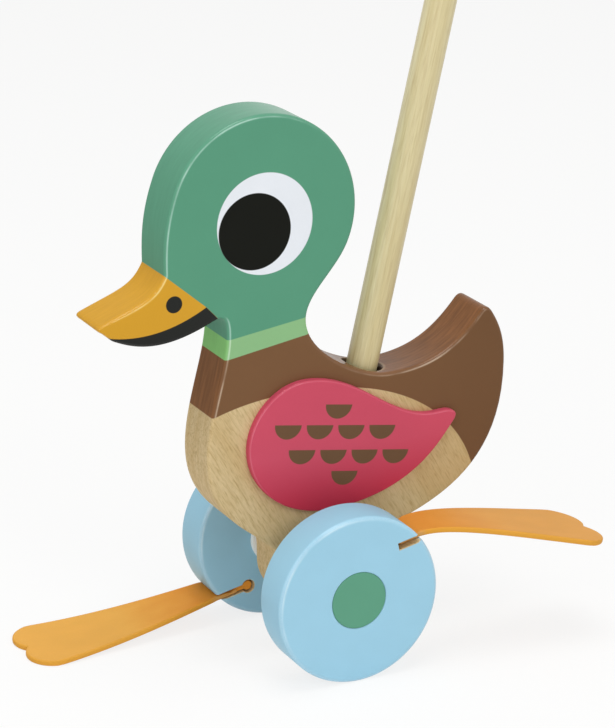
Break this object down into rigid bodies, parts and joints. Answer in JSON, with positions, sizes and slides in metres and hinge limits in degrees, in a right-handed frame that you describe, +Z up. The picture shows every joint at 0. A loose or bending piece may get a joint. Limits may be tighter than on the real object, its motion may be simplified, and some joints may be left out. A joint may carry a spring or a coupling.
{
  "type": "duck push toy",
  "caption": "Wooden duck push toy: a painted duck board with wing plates on a wheeled axle, pushed by a leaning rod; strap feet in the wheels flap on the floor.",
  "frame": {"origin": "floor point under the middle of the axle", "axes": "the duck faces -X, its own left side is at -Y, +Z is up; the axle lies along Y"},
  "size_m": [0.2434, 0.1084, 0.5493],
  "materials": {
    "duck_paint": "satin paint in zones of green, orange and brown over bare beech",
    "wing_paint": "satin pink paint with printed brown half-discs",
    "rod_wood": "sanded and clear lacquered dowel",
    "axle_wood": "sanded dowel",
    "wheel_paint": "satin light blue paint",
    "hub_paint": "satin green paint",
    "spacer_plastic": "moulded white plastic",
    "foot_leather": "smooth orange leather with cut edges"
  },
  "bodies": {
    "duck": {"body_board": "duck_paint", "left_wing": "wing_paint", "right_wing": "wing_paint", "push_rod": "rod_wood", "rod_knob": "rod_wood"},
    "wheelset": {"axle": "axle_wood", "left_wheel": "wheel_paint", "right_wheel": "wheel_paint", "left_hub_plug": "hub_paint", "right_hub_plug": "hub_paint", "left_spacer": "spacer_plastic", "right_spacer": "spacer_plastic", "left_foot_root": "foot_leather", "right_foot_root": "foot_leather"},
    "left_foot": {"left_foot": "foot_leather"},
    "right_foot": {"right_foot": "foot_leather"}
  },
  "joints": [
    {"name": "wheel_spin", "type": "hinge", "parent": "duck", "child": "wheelset", "pos_m": [0, 0, 0.033], "axis": [0, -1, 0], "continuous": true},
    {"name": "left_foot_flap", "type": "hinge", "parent": "wheelset", "child": "left_foot", "pos_m": [0.02727, -0.036, 0.0539], "axis": [0, -1, 0], "range_deg": [-60, 60], "stiffness_Nm_per_rad": 0.04},
    {"name": "right_foot_flap", "type": "hinge", "parent": "wheelset", "child": "right_foot", "pos_m": [-0.02587, 0.036, 0.01047], "axis": [0, 1, 0], "range_deg": [-60, 60], "stiffness_Nm_per_rad": 0.04}
  ]
}
